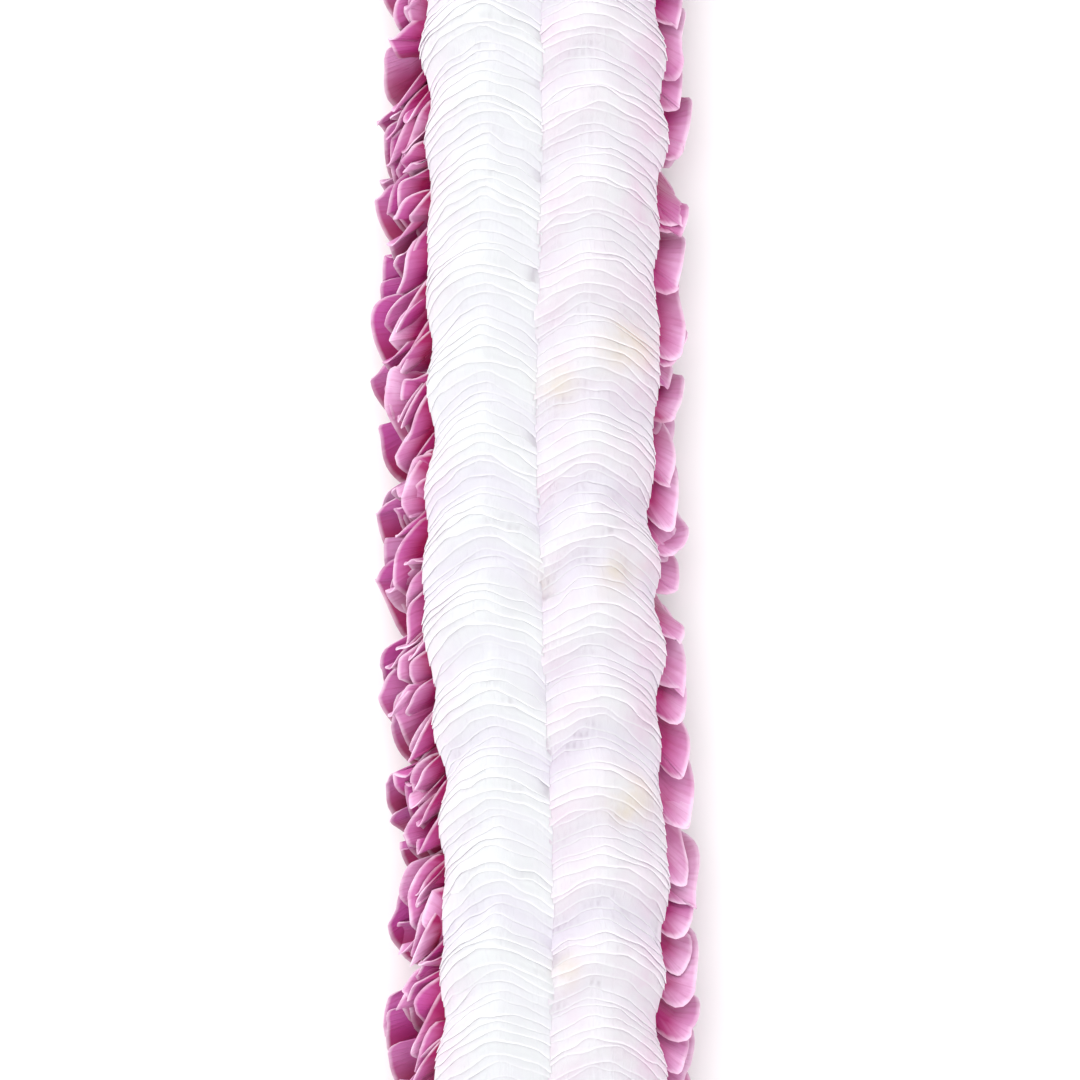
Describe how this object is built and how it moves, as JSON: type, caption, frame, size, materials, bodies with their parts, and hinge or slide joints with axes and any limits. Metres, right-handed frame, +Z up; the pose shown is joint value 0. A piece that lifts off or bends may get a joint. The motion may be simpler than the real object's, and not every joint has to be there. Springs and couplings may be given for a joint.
{
  "type": "flower lei",
  "caption": "Closed flower lei laid flat in a long loop: folded white petals close together on top, magenta petals fanning out below, sewn on a knotted thread.",
  "frame": {"origin": "middle of the loop's bounding box, on the surface that the lei rests on", "axes": "+Z up from the surface, +Y along the loop's long way towards the end with the knot, +X across the loop"},
  "size_m": [0.2202, 0.49, 0.0382],
  "materials": {
    "white_petals": "soft matt petal, white with a faint pink and lavender tint",
    "magenta_petals": "soft satin petal, magenta with a paler rim",
    "thread": "twisted cotton thread, matt off-white"
  },
  "bodies": {
    "root": {"thread_loop": "thread", "thread_knot": "thread", "magenta_petals_01": "magenta_petals", "white_petals_01": "white_petals", "magenta_petals_02": "magenta_petals", "white_petals_02": "white_petals", "magenta_petals_03": "magenta_petals", "white_petals_03": "white_petals", "magenta_petals_04": "magenta_petals", "white_petals_04": "white_petals", "magenta_petals_05": "magenta_petals", "white_petals_05": "white_petals", "magenta_petals_06": "magenta_petals", "white_petals_06": "white_petals", "magenta_petals_07": "magenta_petals", "white_petals_07": "white_petals", "magenta_petals_08": "magenta_petals", "white_petals_08": "white_petals", "magenta_petals_09": "magenta_petals", "white_petals_09": "white_petals", "magenta_petals_10": "magenta_petals", "white_petals_10": "white_petals", "magenta_petals_11": "magenta_petals", "white_petals_11": "white_petals", "magenta_petals_12": "magenta_petals", "white_petals_12": "white_petals", "magenta_petals_13": "magenta_petals", "white_petals_13": "white_petals", "magenta_petals_14": "magenta_petals", "white_petals_14": "white_petals", "magenta_petals_15": "magenta_petals", "white_petals_15": "white_petals", "magenta_petals_16": "magenta_petals", "white_petals_16": "white_petals", "magenta_petals_17": "magenta_petals", "white_petals_17": "white_petals", "magenta_petals_18": "magenta_petals", "white_petals_18": "white_petals", "magenta_petals_19": "magenta_petals", "white_petals_19": "white_petals", "magenta_petals_20": "magenta_petals", "white_petals_20": "white_petals", "magenta_petals_21": "magenta_petals", "white_petals_21": "white_petals"}
  },
  "joints": []
}
